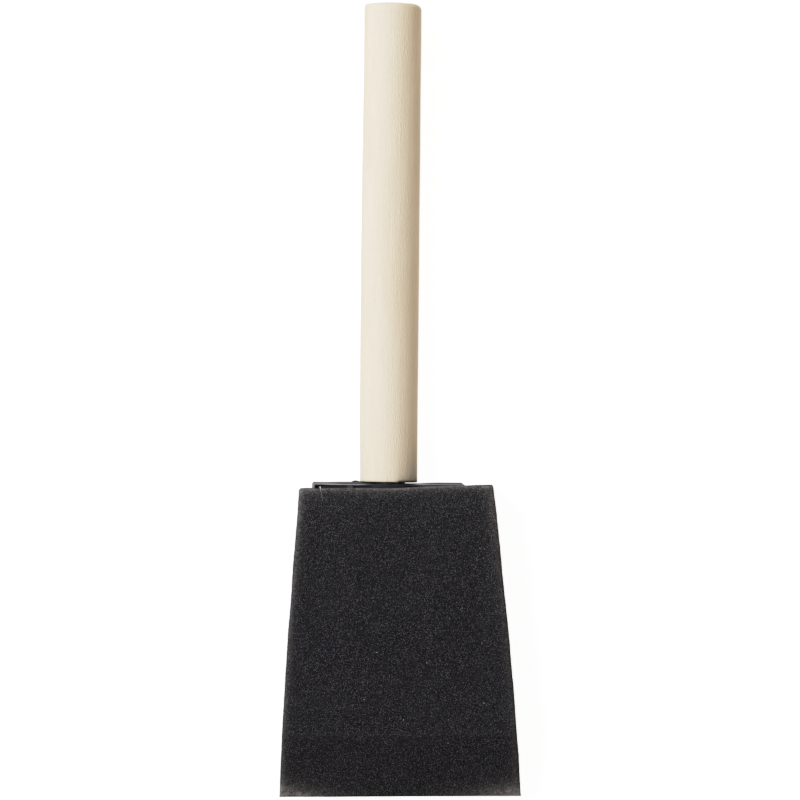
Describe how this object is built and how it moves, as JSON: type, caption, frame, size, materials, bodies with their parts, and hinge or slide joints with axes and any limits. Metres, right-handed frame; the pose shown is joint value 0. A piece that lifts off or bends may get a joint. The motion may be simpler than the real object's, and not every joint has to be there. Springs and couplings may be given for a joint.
{
  "type": "foam sponge brush",
  "caption": "Foam brush with a flared, chisel-tipped foam head on a flat plastic core and a round wooden handle.",
  "frame": {"origin": "on the flat back face of the foam head, under the handle's axis, midway along the stretch that the core backs", "axes": "+Y along the handle to its free end, +Z through the thickness from the back face to the front face, +X across the width"},
  "size_m": [0.051, 0.1686, 0.0165],
  "materials": {
    "handle_wood": "satin",
    "core_plastic": "satin",
    "foam": "matte",
    "dark_adhesive": "gloss",
    "hot_melt": "satin"
  },
  "bodies": {
    "root": {"handle": "handle_wood", "core": "core_plastic", "foam_head": "foam", "handle_glue": "dark_adhesive", "foam_glue_front": "hot_melt", "foam_glue_back": "hot_melt"}
  },
  "joints": []
}
